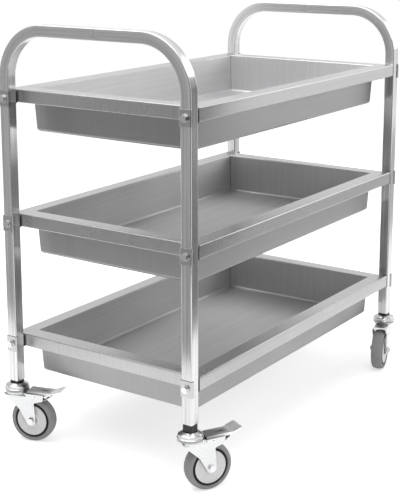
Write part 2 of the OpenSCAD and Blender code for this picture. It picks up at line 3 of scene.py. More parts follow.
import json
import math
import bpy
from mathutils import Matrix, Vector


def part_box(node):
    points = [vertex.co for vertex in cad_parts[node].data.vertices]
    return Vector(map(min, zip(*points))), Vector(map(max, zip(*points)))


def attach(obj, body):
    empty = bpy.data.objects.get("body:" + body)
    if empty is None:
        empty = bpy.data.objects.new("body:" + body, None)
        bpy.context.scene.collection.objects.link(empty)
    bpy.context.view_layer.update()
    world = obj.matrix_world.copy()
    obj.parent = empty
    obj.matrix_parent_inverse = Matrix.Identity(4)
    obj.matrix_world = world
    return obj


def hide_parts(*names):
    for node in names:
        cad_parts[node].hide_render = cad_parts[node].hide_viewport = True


bl_info = {
    "name": "Serving Trolley",
    "version": (1, 0, 0),
    "blender": (4, 5, 0),
    "location": "3D View > Sidebar > Trolley",
    "description": "Models and finishes the pieces of a three-tier serving trolley",
    "category": "Object",
}

import bmesh
import bpy
from mathutils import Matrix, Vector

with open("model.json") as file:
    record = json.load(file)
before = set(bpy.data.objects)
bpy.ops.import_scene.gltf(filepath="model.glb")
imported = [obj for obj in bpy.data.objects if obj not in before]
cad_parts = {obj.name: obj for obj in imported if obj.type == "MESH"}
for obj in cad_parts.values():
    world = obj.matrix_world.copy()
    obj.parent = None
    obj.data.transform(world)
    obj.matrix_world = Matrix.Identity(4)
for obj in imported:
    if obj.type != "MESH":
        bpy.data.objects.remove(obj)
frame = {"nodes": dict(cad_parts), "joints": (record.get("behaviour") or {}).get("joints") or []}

NODES = frame["nodes"]
CORNERS = ("near_left", "far_left", "near_right", "far_right")
BRAKED = ("near_left", "far_left")
TIERS = ("top", "middle", "bottom")
FULL_TURN = 2 * math.pi
PIXELS_HIGH = 498  # of the photographed frame

# Steps round the bends of the sheet, the tube and the tyres, and along the tube's straights
FLOOR_BEND_STEPS = 6
RIM_BEND_STEPS = 5
HEM_BEND_STEPS = 3
CORNER_STEPS = 4
HANDLE_BEND_STEPS = 28
LEG_STEPS = 24
HANDLE_STEPS = 12
SHOULDER_STEPS = 8
TREAD_STEPS = 10
TURNED_STEPS = 128
# Steps over which the rims' painted tone and half roughness blend in from the pans' tone
PAINTED_LIGHT_STEPS = 3  # from the pan's wall to the polished rim

# Angles in degrees
SHARP_ANGLE = 35
FOLD_ANGLE = 50
BALL_ANGLE = 60
SOFTENED_ANGLE = 28
SAME_FACE_ANGLE = 0.5

# Patterns of the finishes, in cycles per metre
FINE_LINES = 1400
LONG_STREAKS = 160
SMEARS = 6
WAVES = 3.5
ZINC_CLOUDS = 35
ZINC_SKIN = 700
DUST_PATCHES = 45
MOULDED_SKIN = 1600
SCREEN_WEAVE = 40
FLOOR_SPECKS = 3

# The stage, in metres
FLOOR_RADIUS = 30
GLOW_START = 1
GLOW_END = 2.8
LAMP_WIDTH = 3


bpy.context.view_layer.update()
TUBE_LOW, TUBE_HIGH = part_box("end_frame_right")
TUBE_WIDTH = TUBE_HIGH[0] - TUBE_LOW[0]
LEG_X = TUBE_HIGH[0] - TUBE_WIDTH / 2
LEG_Y = TUBE_HIGH[1] - TUBE_WIDTH / 2
HANDLE_TOP = TUBE_HIGH[2]
TUBE_END = TUBE_LOW[2]
JOINTS = {joint["name"]: joint for joint in frame["joints"]}


# Sizes, colours and stage settings


class TrolleySizes(bpy.types.PropertyGroup):
    """Sizes that the finish adds to the construction"""

    tube_wall: bpy.props.FloatProperty(
        name="Tube wall", description="Wall of the square tube",
        default=0.0012, unit="LENGTH",
    )
    tube_edge: bpy.props.FloatProperty(
        name="Tube edge", description="Outside radius along the tube's edges",
        default=0.0025, unit="LENGTH",
    )
    handle_radius: bpy.props.FloatProperty(
        name="Handle bend", description="Bend radius at the middle of the tube",
        default=0.105, unit="LENGTH",
    )
    near_left_lift: bpy.props.FloatProperty(
        name="Near left lift", description="How much higher the near left tube ends",
        default=0.01, unit="LENGTH",
    )
    rim_width: bpy.props.FloatProperty(
        name="Rim width", description="Flat rim around each pan",
        default=0.034, unit="LENGTH",
    )
    skirt_height: bpy.props.FloatProperty(
        name="Skirt height", description="Height of each tray's outer skirt",
        default=0.029, unit="LENGTH",
    )
    hem_width: bpy.props.FloatProperty(
        name="Hem width", description="Hem turned in under the skirt",
        default=0.009, unit="LENGTH",
    )
    sheet: bpy.props.FloatProperty(
        name="Sheet", description="Thickness of the tray sheet",
        default=0.0012, unit="LENGTH",
    )
    rim_bend: bpy.props.FloatProperty(
        name="Rim bend", description="Outside radius of the folds along the rim",
        default=0.003, unit="LENGTH",
    )
    floor_bend: bpy.props.FloatProperty(
        name="Floor bend", description="Radius between pan wall and floor",
        default=0.006, unit="LENGTH",
    )
    wall_lean: bpy.props.FloatProperty(
        name="Wall lean", description="How far each pan wall leans in",
        default=0.005, unit="LENGTH",
    )
    corner_radius: bpy.props.FloatProperty(
        name="Corner radius", description="Radius of the trays' upright corners",
        default=0.0012, unit="LENGTH",
    )
    wheel_radius: bpy.props.FloatProperty(
        name="Wheel radius", description="Radius of the wheels at the tread",
        default=0.05, unit="LENGTH",
    )
    tyre_width: bpy.props.FloatProperty(
        name="Tyre width", description="Width of the tyres",
        default=0.027, unit="LENGTH",
    )
    tyre_height: bpy.props.FloatProperty(
        name="Tyre height", description="Height of the tyre section",
        default=0.0109, unit="LENGTH",
    )
    shoulder: bpy.props.FloatProperty(
        name="Shoulder", description="Radius between sidewall and tread",
        default=0.005, unit="LENGTH",
    )
    tread_radius: bpy.props.FloatProperty(
        name="Tread radius", description="Radius across the slightly round tread",
        default=0.04, unit="LENGTH",
    )
    sidewall_line: bpy.props.FloatProperty(
        name="Sidewall line", description="Depth of the line moulded in the sidewalls",
        default=0.0003, unit="LENGTH",
    )
    lip_radius: bpy.props.FloatProperty(
        name="Lip radius", description="Inside radius of the lips round the wheel covers",
        default=0.0346, unit="LENGTH",
    )
    lip_width: bpy.props.FloatProperty(
        name="Lip width", description="Width of the lips round the wheel covers",
        default=0.002, unit="LENGTH",
    )
    lip_foot: bpy.props.FloatProperty(
        name="Lip foot", description="Distance of the lips' feet from the wheel's middle",
        default=0.0122, unit="LENGTH",
    )
    lip_height: bpy.props.FloatProperty(
        name="Lip height", description="Height of the lips round the wheel covers",
        default=0.0016, unit="LENGTH",
    )
    # Where the levers' painted dark reflection gives way to the pedals' painted bright reflection
    pedal_start: bpy.props.FloatProperty(
        name="Pedal start",
        description="Distance from the swivel axis at which the levers turn brighter",
        default=0.078, unit="LENGTH",
    )
    pedal_blend: bpy.props.FloatProperty(
        name="Pedal blend", description="Length over which the levers turn brighter",
        default=0.01, unit="LENGTH",
    )
    pressed_edge: bpy.props.FloatProperty(
        name="Pressed edge", description="Softening along pressed sheet edges",
        default=0.0005, unit="LENGTH",
    )
    moulded_edge: bpy.props.FloatProperty(
        name="Moulded edge", description="Softening along moulded plastic edges",
        default=0.0006, unit="LENGTH",
    )
    machined_edge: bpy.props.FloatProperty(
        name="Machined edge", description="Softening along bolts and nuts",
        default=0.0003, unit="LENGTH",
    )


class TrolleyColours(bpy.types.PropertyGroup):
    """Colours of the finishes"""

    # The pans, rims and backs are one brushed sheet: their three colours are painted light and
    # shade, not three finishes
    sheet: bpy.props.FloatVectorProperty(
        name="Tray pans", description="Brushed inside of the pans",
        default=(0.6, 0.6, 0.605), subtype="COLOR",
    )
    # Painted shade: the pans' outsides are darker for the shade on the pan walls under the rims
    back: bpy.props.FloatVectorProperty(
        name="Tray backs", description="Dull outside of the pans",
        default=(0.35, 0.35, 0.355), subtype="COLOR",
    )
    # Painted tone for the rims and skirts, set apart from the shaded pan walls below them
    rim: bpy.props.FloatVectorProperty(
        name="Tray rims", description="Brighter sheet of the rims and skirts",
        default=(0.48, 0.48, 0.485), subtype="COLOR",
    )
    tube: bpy.props.FloatVectorProperty(
        name="Tube", description="Satin tube of the frames",
        default=(0.64, 0.64, 0.645), subtype="COLOR",
    )
    clip: bpy.props.FloatVectorProperty(
        name="Clips", description="Saddle clips",
        default=(0.5, 0.5, 0.505), subtype="COLOR",
    )
    bolt: bpy.props.FloatVectorProperty(
        name="Bolts", description="Plated bolts, nuts and washers",
        default=(0.72, 0.72, 0.73), subtype="COLOR",
    )
    zinc: bpy.props.FloatVectorProperty(
        name="Zinc", description="Bright zinc on forks and caps",
        default=(0.66, 0.665, 0.67), subtype="COLOR",
    )
    # The levers and pedals are one zinc: the dark plate and the bright pedal are painted
    # reflections
    lever: bpy.props.FloatVectorProperty(
        name="Levers", description="Zinc on the brake levers",
        default=(0.34, 0.34, 0.345), subtype="COLOR",
    )
    pedal: bpy.props.FloatVectorProperty(
        name="Pedals", description="Zinc on the raised end of the brake levers",
        default=(0.94, 0.94, 0.945), subtype="COLOR",
    )
    leaf: bpy.props.FloatVectorProperty(
        name="Leaf", description="Spring steel leaf",
        default=(0.4, 0.4, 0.41), subtype="COLOR",
    )
    black: bpy.props.FloatVectorProperty(
        name="Black plastic", description="Plugs, pads and wheel centres",
        default=(0.016, 0.016, 0.017), subtype="COLOR",
    )
    cover: bpy.props.FloatVectorProperty(
        name="Wheel covers", description="Pale wheel covers",
        default=(0.78, 0.78, 0.775), subtype="COLOR",
    )
    tyre: bpy.props.FloatVectorProperty(
        name="Tyres", description="Grey rubber",
        default=(0.3, 0.3, 0.305), subtype="COLOR",
    )


class TrolleyStage(bpy.types.PropertyGroup):
    """Camera, floor and light"""

    floor: bpy.props.FloatVectorProperty(
        name="Floor", description="Colour of the floor",
        default=(0.9, 0.9, 0.9), subtype="COLOR",
    )
    near_glow: bpy.props.FloatProperty(
        name="Near glow",
        description="Whiteness that the camera sees more on the floor by the trolley",
        default=0.54, min=0, max=1,
    )
    far_glow: bpy.props.FloatProperty(
        name="Far glow", description="Whiteness that the camera sees more on the floor further off",
        default=0.68, min=0, max=1,
    )
    end_screen: bpy.props.FloatVectorProperty(
        name="End screen", description="Grey of the screen that the ends mirror",
        default=(0.62, 0.62, 0.62), subtype="COLOR",
    )
    camera_screen: bpy.props.FloatVectorProperty(
        name="Camera screen",
        description="Dark of the screen that the edges towards the camera mirror",
        default=(0.03, 0.03, 0.03), subtype="COLOR",
    )
    side_screen: bpy.props.FloatVectorProperty(
        name="Side screen", description="Grey of the screen that the long sides mirror",
        default=(0.8, 0.8, 0.8), subtype="COLOR",
    )
    leg_screen: bpy.props.FloatVectorProperty(
        name="Leg screen", description="Grey of the narrow screen that the near left leg mirrors",
        default=(0.1, 0.1, 0.1), subtype="COLOR",
    )
    fill: bpy.props.FloatProperty(
        name="Fill", description="Level of light from all around",
        default=0.35, min=0, max=1,
    )
    key: bpy.props.FloatProperty(
        name="Key lamp", description="Power of the overhead lamp",
        default=72, unit="POWER",
    )
    right: bpy.props.FloatProperty(
        name="Right lamp", description="Power of the lamp at the right",
        default=30, unit="POWER",
    )
    left: bpy.props.FloatProperty(
        name="Left lamp", description="Power of the lamp at the left",
        default=40, unit="POWER",
    )
    camera_place: bpy.props.FloatVectorProperty(
        name="Camera place", description="Where the camera stands",
        default=(-2.2581, -1.5055, 1.1174), subtype="TRANSLATION",
    )
    camera_turn: bpy.props.FloatProperty(
        name="Camera turn", description="Heading from +Y towards +X",
        default=math.radians(55.56), subtype="ANGLE",
    )
    camera_dip: bpy.props.FloatProperty(
        name="Camera dip", description="Angle below the horizon",
        default=math.radians(11.245), subtype="ANGLE",
    )
    camera_roll: bpy.props.FloatProperty(
        name="Camera roll", description="Turn about the line of sight",
        default=math.radians(0.072), subtype="ANGLE",
    )
    focal_pixels: bpy.props.FloatProperty(
        name="Focal length", description="Focal length in pixels of the picture",
        default=1191.4,
    )
    middle_row: bpy.props.FloatProperty(
        name="Middle row", description="Row of the picture that the line of sight meets",
        default=162,
    )


# Node helpers


def add_node(tree, kind, inputs=None, **settings):
    """A shader node with its settings, and its inputs set or linked."""
    made = tree.nodes.new(kind)
    for key, value in settings.items():
        setattr(made, key, value)
    for key, value in (inputs or {}).items():
        if isinstance(value, bpy.types.NodeSocket):
            tree.links.new(value, made.inputs[key])
        else:
            made.inputs[key].default_value = value
    return made


def own_place(tree):
    """The object's own coordinates."""
    return add_node(tree, "ShaderNodeTexCoord").outputs["Object"]


def along_grain(tree):
    """Coordinates along, across and out of the metal's grain."""
    return add_node(tree, "ShaderNodeAttribute", attribute_name="grain").outputs["Vector"]


def cloud(tree, place, scale, detail=2, stretch=(1, 1, 1)):
    """Soft noise from 0 to 1, in cycles per metre, stretched along its axes."""
    scales = [scale * part for part in stretch]
    sized = add_node(tree, "ShaderNodeMapping", {"Vector": place, "Scale": scales})
    inputs = {"Vector": sized.outputs["Vector"], "Scale": 1, "Detail": detail}
    noise = add_node(tree, "ShaderNodeTexNoise", inputs)
    return noise.outputs["Fac"]


def spread(tree, value, low, high, start=0.3, end=0.7):
    """A value from start to end, carried over to low to high."""
    inputs = {"Value": value, "From Min": start, "From Max": end, "To Min": low, "To Max": high}
    return add_node(tree, "ShaderNodeMapRange", inputs).outputs["Result"]


def summed(tree, first, second):
    """The sum of two values."""
    return add_node(tree, "ShaderNodeMath", {0: first, 1: second}).outputs[0]


def shades(tree, colour, factor, darkest, lightest):
    """The colour, made darker or lighter by a factor from 0 to 1."""
    mixed = add_node(tree, "ShaderNodeValToRGB", {"Fac": factor})
    stops = mixed.color_ramp.elements
    stops[0].color = [part * darkest for part in colour] + [1]
    stops[1].color = [min(1, part * lightest) for part in colour] + [1]
    return mixed.outputs["Color"]


def measure(tree, name):
    """A number from 0 to 1 that is written on the mesh's points."""
    return add_node(tree, "ShaderNodeAttribute", attribute_name=name).outputs["Fac"]


def blended(tree, first, second, factor):
    """One colour carried over into another."""
    mixed = add_node(tree, "ShaderNodeMix", {0: factor, 6: first, 7: second}, data_type="RGBA")
    return mixed.outputs[2]


def background_rays(tree):
    """One for a ray from the camera, from a reflection or through glass, and zero for light."""
    path = add_node(tree, "ShaderNodeLightPath")
    seen = summed(tree, path.outputs["Is Camera Ray"], path.outputs["Is Glossy Ray"])
    return summed(tree, seen, path.outputs["Is Transmission Ray"])


def bump(tree, height, depth):
    """A normal from a height field from 0 to 1 that stands depth metres proud."""
    inputs = {"Height": height, "Distance": depth, "Strength": 1}
    return add_node(tree, "ShaderNodeBump", inputs).outputs["Normal"]


def new_material(name):
    """A material with its principled shader."""
    made = bpy.data.materials.new(name)
    made.use_nodes = True
    return made, made.node_tree, made.node_tree.nodes["Principled BSDF"]


# Finishes


def satin_steel(name, colour, roughness, streaks, painted_light_colour=None):
    """Brushed stainless steel: fine lines along the grain, longer streaks, faint smears and a slow
    waviness that makes reflections wander. When a second colour is given, it goes where the painted
    light mask is set, as a painted tone that sets the rims and skirts apart from the shaded pans,
    with half the roughness there, and the weld seams are scorched."""
    made, tree, shader = new_material(name)
    place = along_grain(tree)
    fine = cloud(tree, place, FINE_LINES, 3, stretch=(0.004, 1, 1))
    streak = cloud(tree, place, LONG_STREAKS, 2, stretch=(0.012, 1, 1))
    smear = cloud(tree, own_place(tree), SMEARS, 3)
    wave = cloud(tree, own_place(tree), WAVES, 1)
    shade = summed(tree, spread(tree, fine, 0, 0.5), spread(tree, streak, 0, 0.5))
    tint = shades(tree, colour, shade, 1 - streaks, 1 + streaks)
    gloss = spread(tree, smear, *roughness)
    if painted_light_colour:
        # Where the rims' painted tone and half roughness go; the pans keep their own colour
        painted_light_mask = measure(tree, "painted_light_mask")
        painted_light_tint = shades(tree, painted_light_colour, shade, 1 - streaks, 1 + streaks)
        scorched = shades(tree, colour, shade, 0.25, 0.4)
        tint = blended(tree, tint, painted_light_tint, painted_light_mask)
        tint = blended(tree, tint, scorched, measure(tree, "seam"))
        halved = add_node(tree, "ShaderNodeMath", {0: gloss, 1: 0.5}, operation="MULTIPLY")
        gloss = spread(tree, painted_light_mask, gloss, halved.outputs[0], 0, 1)
    tree.links.new(tint, shader.inputs["Base Color"])
    tree.links.new(gloss, shader.inputs["Roughness"])
    height = summed(tree, spread(tree, fine, 0, 0.004, 0, 1), spread(tree, wave, 0, 1, 0, 1))
    tree.links.new(bump(tree, height, 0.0012), shader.inputs["Normal"])
    across = add_node(tree, "ShaderNodeTangent", direction_type="UV_MAP", uv_map="across_grain")
    tree.links.new(across.outputs["Tangent"], shader.inputs["Tangent"])
    shader.inputs["Anisotropic"].default_value = 0.6
    shader.inputs["Metallic"].default_value = 0.9
    return made


def bright_zinc(name, colour, roughness, painted_light_colour=None):
    """Plated steel: a bright, even skin with a faint cloudiness. Where the painted light mask is
    set it has the second colour, a painted reflection on part of the same zinc."""
    made, tree, shader = new_material(name)
    place = own_place(tree)
    cloudiness = cloud(tree, place, ZINC_CLOUDS)
    skin = cloud(tree, place, ZINC_SKIN)
    tint = shades(tree, colour, cloudiness, 0.96, 1.04)
    # The second colour is a painted reflection on part of the same zinc
    if painted_light_colour:
        painted_light_tint = shades(tree, painted_light_colour, cloudiness, 0.96, 1.04)
        tint = blended(tree, tint, painted_light_tint, measure(tree, "painted_light_mask"))
    tree.links.new(tint, shader.inputs["Base Color"])
    tree.links.new(spread(tree, cloudiness, *roughness), shader.inputs["Roughness"])
    tree.links.new(bump(tree, skin, 0.00001), shader.inputs["Normal"])
    shader.inputs["Metallic"].default_value = 1.0
    return made


def moulded(name, colour, roughness, texture, dust, shine=0.45):
    """Moulded plastic or rubber with a fine skin and a little dust in its patches."""
    made, tree, shader = new_material(name)
    place = own_place(tree)
    patch = cloud(tree, place, DUST_PATCHES, 4)
    skin = cloud(tree, place, MOULDED_SKIN)
    shade = summed(tree, spread(tree, patch, 0, 0.7), spread(tree, skin, 0, 0.3))
    tint = shades(tree, colour, shade, 1 - dust, 1 + dust)
    tree.links.new(tint, shader.inputs["Base Color"])
    tree.links.new(spread(tree, patch, *roughness), shader.inputs["Roughness"])
    tree.links.new(bump(tree, skin, texture), shader.inputs["Normal"])
    shader.inputs["Specular IOR Level"].default_value = shine
    return made


def finish(slot):
    """The material of one of the record's slots, made when it is first asked for."""
    name = "trolley_" + slot
    if name in bpy.data.materials:
        return bpy.data.materials[name]
    colours = bpy.context.scene.trolley_colours
    makers = {
        # The pans' brushed sheet, with the rims' painted tone laid on through the mask
        "sheet": lambda: satin_steel(name, colours.sheet, (0.5, 0.62), 0.08, colours.rim),
        # The backs' darker colour is painted shade
        "sheet_back": lambda: satin_steel(name, colours.back, (0.34, 0.42), 0.05),
        "tube": lambda: satin_steel(name, colours.tube, (0.15, 0.22), 0.36),
        "clip": lambda: bright_zinc(name, colours.clip, (0.16, 0.24)),
        "bolt": lambda: bright_zinc(name, colours.bolt, (0.14, 0.26)),
        "zinc": lambda: bright_zinc(name, colours.zinc, (0.2, 0.34)),
        # The levers' dark plate and bright pedal are painted reflections
        "lever": lambda: bright_zinc(name, colours.lever, (0.5, 0.62), colours.pedal),
        "leaf": lambda: bright_zinc(name, colours.leaf, (0.3, 0.4)),
        "pad": lambda: moulded(name, colours.black, (0.49, 0.63), 0.00003, 0.2),
        "plug": lambda: moulded(name, colours.black, (0.32, 0.46), 0.00002, 0.2),
        "hub": lambda: moulded(name, colours.black, (0.49, 0.63), 0.00003, 0.2, shine=0.2),
        "cover": lambda: moulded(name, colours.cover, (0.3, 0.44), 0.00001, 0.03),
        "tyre": lambda: moulded(name, colours.tyre, (0.54, 0.68), 0.00004, 0.12),
    }
    return makers[slot]()


# Mesh helpers


def new_piece(
    name, mesh, body, slot, *replaced, sharp=SHARP_ANGLE, doubled=0, backing=None, look=None
):
    """A finished piece from a bmesh: shaded, painted and riding on its body. Its look may differ
    from its slot's, and a doubled one gets a wall, with its own look on the back."""
    data = bpy.data.meshes.new(name)
    mesh.to_mesh(data)
    mesh.free()
    data.shade_smooth()
    data.set_sharp_from_angle(angle=math.radians(sharp))
    piece = bpy.data.objects.new(name, data)
    bpy.context.scene.collection.objects.link(piece)
    data.materials.append(finish(look or slot))
    if doubled:
        wall = piece.modifiers.new("Sheet", "SOLIDIFY")
        wall.thickness = doubled
        wall.offset = -1
        wall.use_even_offset = True
        if backing:
            data.materials.append(finish(backing))
            wall.material_offset = 1
    flats = piece.modifiers.new("Flat faces", "WEIGHTED_NORMAL")
    flats.keep_sharp = True
    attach(piece, body)
    if replaced:
        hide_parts(*replaced)
    return piece


def arc_points(middle, radius, start, end, steps):
    """Points round an arc in a plane, from one angle to the next, in degrees."""
    points = []
    for step in range(steps + 1):
        angle = math.radians(start + (end - start) * step / steps)
        points.append((middle[0] + radius * math.cos(angle), middle[1] + radius * math.sin(angle)))
    return points


def turned(*profiles):
    """Closed profiles of (radius, height) points, each spun into a solid round Z."""
    mesh = bmesh.new()
    for profile in profiles:
        points = [mesh.verts.new((radius, 0, height)) for radius, height in profile]
        for last, point in zip(points[-1:] + points, points):
            mesh.edges.new((last, point))
    bmesh.ops.spin(
        mesh, geom=mesh.verts[:] + mesh.edges[:], cent=(0, 0, 0), axis=(0, 0, 1), angle=FULL_TURN,
        steps=TURNED_STEPS, use_merge=True,
    )
    bmesh.ops.remove_doubles(mesh, verts=mesh.verts, dist=1e-6)
    bmesh.ops.recalc_face_normals(mesh, faces=mesh.faces)
    return mesh


def cleaned_copy(node):
    """A CAD node's mesh with its loose triangles merged into whole faces."""
    mesh = bmesh.new()
    mesh.from_mesh(NODES[node].data)
    bmesh.ops.remove_doubles(mesh, verts=mesh.verts, dist=2e-6)
    bmesh.ops.dissolve_limit(
        mesh, angle_limit=math.radians(SAME_FACE_ANGLE), verts=mesh.verts, edges=mesh.edges,
        delimit={"NORMAL"},
    )
    return mesh


def softened(mesh, width):
    """The mesh with its sharp edges rounded off."""
    edges = [
        edge for edge in mesh.edges
        if edge.is_manifold and math.degrees(edge.calc_face_angle()) > SOFTENED_ANGLE
    ]
    bmesh.ops.bevel(
        mesh, geom=edges, offset=width, offset_type="OFFSET", segments=2, profile=0.5,
        affect="EDGES", clamp_overlap=True, material=-1,
    )
    return mesh


def soft_copy(name, node, body, slot, width, look=None):
    """A piece with a CAD node's shape and its edges rounded off."""
    return new_piece(name, softened(cleaned_copy(node), width), body, slot, node, look=look)


def rounded_rectangle(width, depth, radius):
    """A flat rectangle about the origin with rounded corners."""
    mesh = bmesh.new()
    bmesh.ops.create_grid(mesh, x_segments=1, y_segments=1, size=0.5)
    bmesh.ops.scale(mesh, verts=mesh.verts, vec=(width, depth, 1))
    bmesh.ops.bevel(
        mesh, geom=list(mesh.verts), offset=radius, offset_type="OFFSET", segments=CORNER_STEPS,
        profile=0.5, affect="VERTICES", clamp_overlap=True, material=-1,
    )
    return mesh


def carried_on(mesh, edges):
    """New points and edges drawn out of an open border, still in its place."""
    grown = bmesh.ops.extrude_edge_only(mesh, edges=edges)["geom"]
    verts = [part for part in grown if isinstance(part, bmesh.types.BMVert)]
    edges = [
        part for part in grown
        if isinstance(part, bmesh.types.BMEdge) and all(vert in verts for vert in part.verts)
    ]
    return verts, edges


def caster_place(corner):
    """A matrix that carries a wheel lying flat at the origin to its axle."""
    roll = JOINTS[f"wheel_{corner}_roll"]
    upright = Vector((0, 0, 1)).rotation_difference(Vector(roll["axis"])).to_matrix().to_4x4()
    return Matrix.Translation(roll["pos_m"]) @ upright


# Frames and trays


def tube_path(sizes, side, near_start, far_start):
    """The outer surface of one end frame's tube, with the grain's coordinates on its points."""
    mesh = rounded_rectangle(TUBE_WIDTH, TUBE_WIDTH, sizes.tube_edge)
    bmesh.ops.delete(mesh, geom=list(mesh.faces), context="FACES_ONLY")
    bmesh.ops.translate(mesh, verts=mesh.verts, vec=(side * LEG_X, -LEG_Y, near_start))
    radius = sizes.handle_radius
    bend_z = HANDLE_TOP - TUBE_WIDTH / 2 - radius
    bend_y = LEG_Y - radius
    ring = run_on(mesh, list(mesh.edges), (0, 0, bend_z - near_start), LEG_STEPS)
    ring = bend_on(mesh, ring, (side * LEG_X, -bend_y, bend_z))
    ring = run_on(mesh, ring, (0, 2 * bend_y, 0), HANDLE_STEPS)
    ring = bend_on(mesh, ring, (side * LEG_X, bend_y, bend_z))
    run_on(mesh, ring, (0, 0, far_start - bend_z), LEG_STEPS)
    bmesh.ops.recalc_face_normals(mesh, faces=mesh.faces)
    grain = mesh.verts.layers.float_vector.new("grain")
    for vert in mesh.verts:
        x, y, z = vert.co
        edge = math.copysign(1, y)
        if z <= bend_z:
            along, out = z, abs(y) - LEG_Y
        elif abs(y) >= bend_y:
            turn = math.atan2(z - bend_z, abs(y) - bend_y)
            along = bend_z + radius * turn
            out = math.hypot(z - bend_z, abs(y) - bend_y) - radius
        else:
            along = bend_z + radius * math.pi / 2 + bend_y - abs(y)
            out = z - bend_z - radius
        vert[grain] = (edge * along, x - side * LEG_X, out)
    map_grain(mesh, lambda place: (math.atan2(place.z, place.y) * TUBE_WIDTH, place.x))
    return mesh


def map_grain(mesh, spread_out):
    """A flat map whose first direction runs across the grain, for the brushed shine."""
    grain = mesh.verts.layers.float_vector["grain"]
    flat = mesh.loops.layers.uv.new("across_grain")
    for face in mesh.faces:
        for corner in face.loops:
            corner[flat].uv = spread_out(corner.vert[grain])


def run_on(mesh, edges, way, steps):
    """Carries a ring of edges straight on, in steps, and gives the last ring."""
    for _ in range(steps):
        verts, edges = carried_on(mesh, edges)
        bmesh.ops.translate(mesh, verts=verts, vec=Vector(way) / steps)
    return edges


def bend_on(mesh, edges, middle):
    """Carries a ring of edges a quarter turn round a middle, about X, and gives the last ring."""
    verts = list({vert for edge in edges for vert in edge.verts})
    spun = bmesh.ops.spin(
        mesh, geom=verts + edges, cent=middle, axis=(-1, 0, 0), angle=FULL_TURN / 4,
        steps=HANDLE_BEND_STEPS,
    )
    return [part for part in spun["geom_last"] if isinstance(part, bmesh.types.BMEdge)]


def tray_profile(sizes, depth):
    """Steps from the edge of the pan's flat floor, up its wall, over the rim, down the skirt and in
    along the hem, as (outward, up) from the floor's edge."""
    lean = math.degrees(math.atan2(sizes.wall_lean, depth))
    bend, floor_bend = sizes.rim_bend, sizes.floor_bend
    wall_x = -bend * math.cos(math.radians(lean))
    wall_z = -bend + bend * math.sin(math.radians(lean))
    floor_z = -depth + floor_bend
    floor_x = wall_x - (
        floor_bend - math.sin(math.radians(lean)) * (floor_z - wall_z)
    ) / math.cos(math.radians(lean))
    rim = sizes.rim_width
    hem_bend = 2 * sizes.sheet
    skirt_foot = -sizes.skirt_height
    points = arc_points((floor_x, floor_z), floor_bend, -90, -lean, FLOOR_BEND_STEPS)
    points += arc_points((0, -bend), bend, 180 - lean, 90, RIM_BEND_STEPS)
    points += arc_points((rim - bend, -bend), bend, 90, 0, RIM_BEND_STEPS)
    hem_middle = (rim - hem_bend, skirt_foot + hem_bend)
    points += arc_points(hem_middle, hem_bend, 0, -90, HEM_BEND_STEPS)
    points.append((rim - sizes.hem_width, skirt_foot))
    return points


def tray_sheet(sizes, node):
    """A tray's upper and outer surface, folded from a flat blank. Its points carry the grain, where
    the rim takes its painted tone and half the roughness, and where the corners are welded. Facing
    goes round each corner, from 0 on the end walls to 1 on the side walls."""
    low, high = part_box(node)
    depth = high[2] - low[2] - sizes.sheet
    well = Vector((high[0] - sizes.rim_width, high[1] - sizes.rim_width))
    points = tray_profile(sizes, depth)
    start = points[0]
    half = Vector((well.x + start[0], well.y + start[0]))
    mesh = rounded_rectangle(2 * half.x, 2 * half.y, sizes.corner_radius)
    bmesh.ops.translate(mesh, verts=mesh.verts, vec=(0, 0, high[2] + start[1]))
    grain = mesh.verts.layers.float_vector.new("grain")
    facing = mesh.verts.layers.float.new("facing")
    painted_light_mask = mesh.verts.layers.float.new("painted_light_mask")
    seam = mesh.verts.layers.float.new("seam")
    arc_x, arc_y = half.x - sizes.corner_radius, half.y - sizes.corner_radius
    for vert in mesh.verts:
        round_corner = math.atan2(abs(vert.co.y) - arc_y, abs(vert.co.x) - arc_x)
        vert[facing] = round_corner / (FULL_TURN / 4)
        vert[grain] = vert.co
    edges = [edge for edge in mesh.edges if edge.is_boundary]
    run = 0
    for step, (last, point) in enumerate(zip(points, points[1:])):
        out, up = point[0] - last[0], point[1] - last[1]
        run += math.hypot(out, up)
        verts, edges = carried_on(mesh, edges)
        for vert in verts:
            across, deep = math.copysign(1, vert.co.x), math.copysign(1, vert.co.y)
            vert.co += Vector((across * out, deep * out, up))
            on_end = Vector((across * (half.x + run), vert.co.y, 0))
            on_side = Vector((vert.co.x, deep * (half.y + run), 0))
            vert[grain] = on_end.lerp(on_side, vert[facing])
            # The rims and skirts are marked for their painted tone
            vert[painted_light_mask] = min(1, max(0, (step - FLOOR_BEND_STEPS) / PAINTED_LIGHT_STEPS))
            vert[seam] = 4 * vert[facing] * (1 - vert[facing])
    map_grain(mesh, lambda place: (place.y, place.x))
    floor = max(mesh.faces, key=lambda face: face.calc_area())
    bmesh.ops.recalc_face_normals(mesh, faces=mesh.faces)
    if floor.normal.z < 0:
        bmesh.ops.reverse_faces(mesh, faces=mesh.faces)
    return mesh


# Wheels and brakes


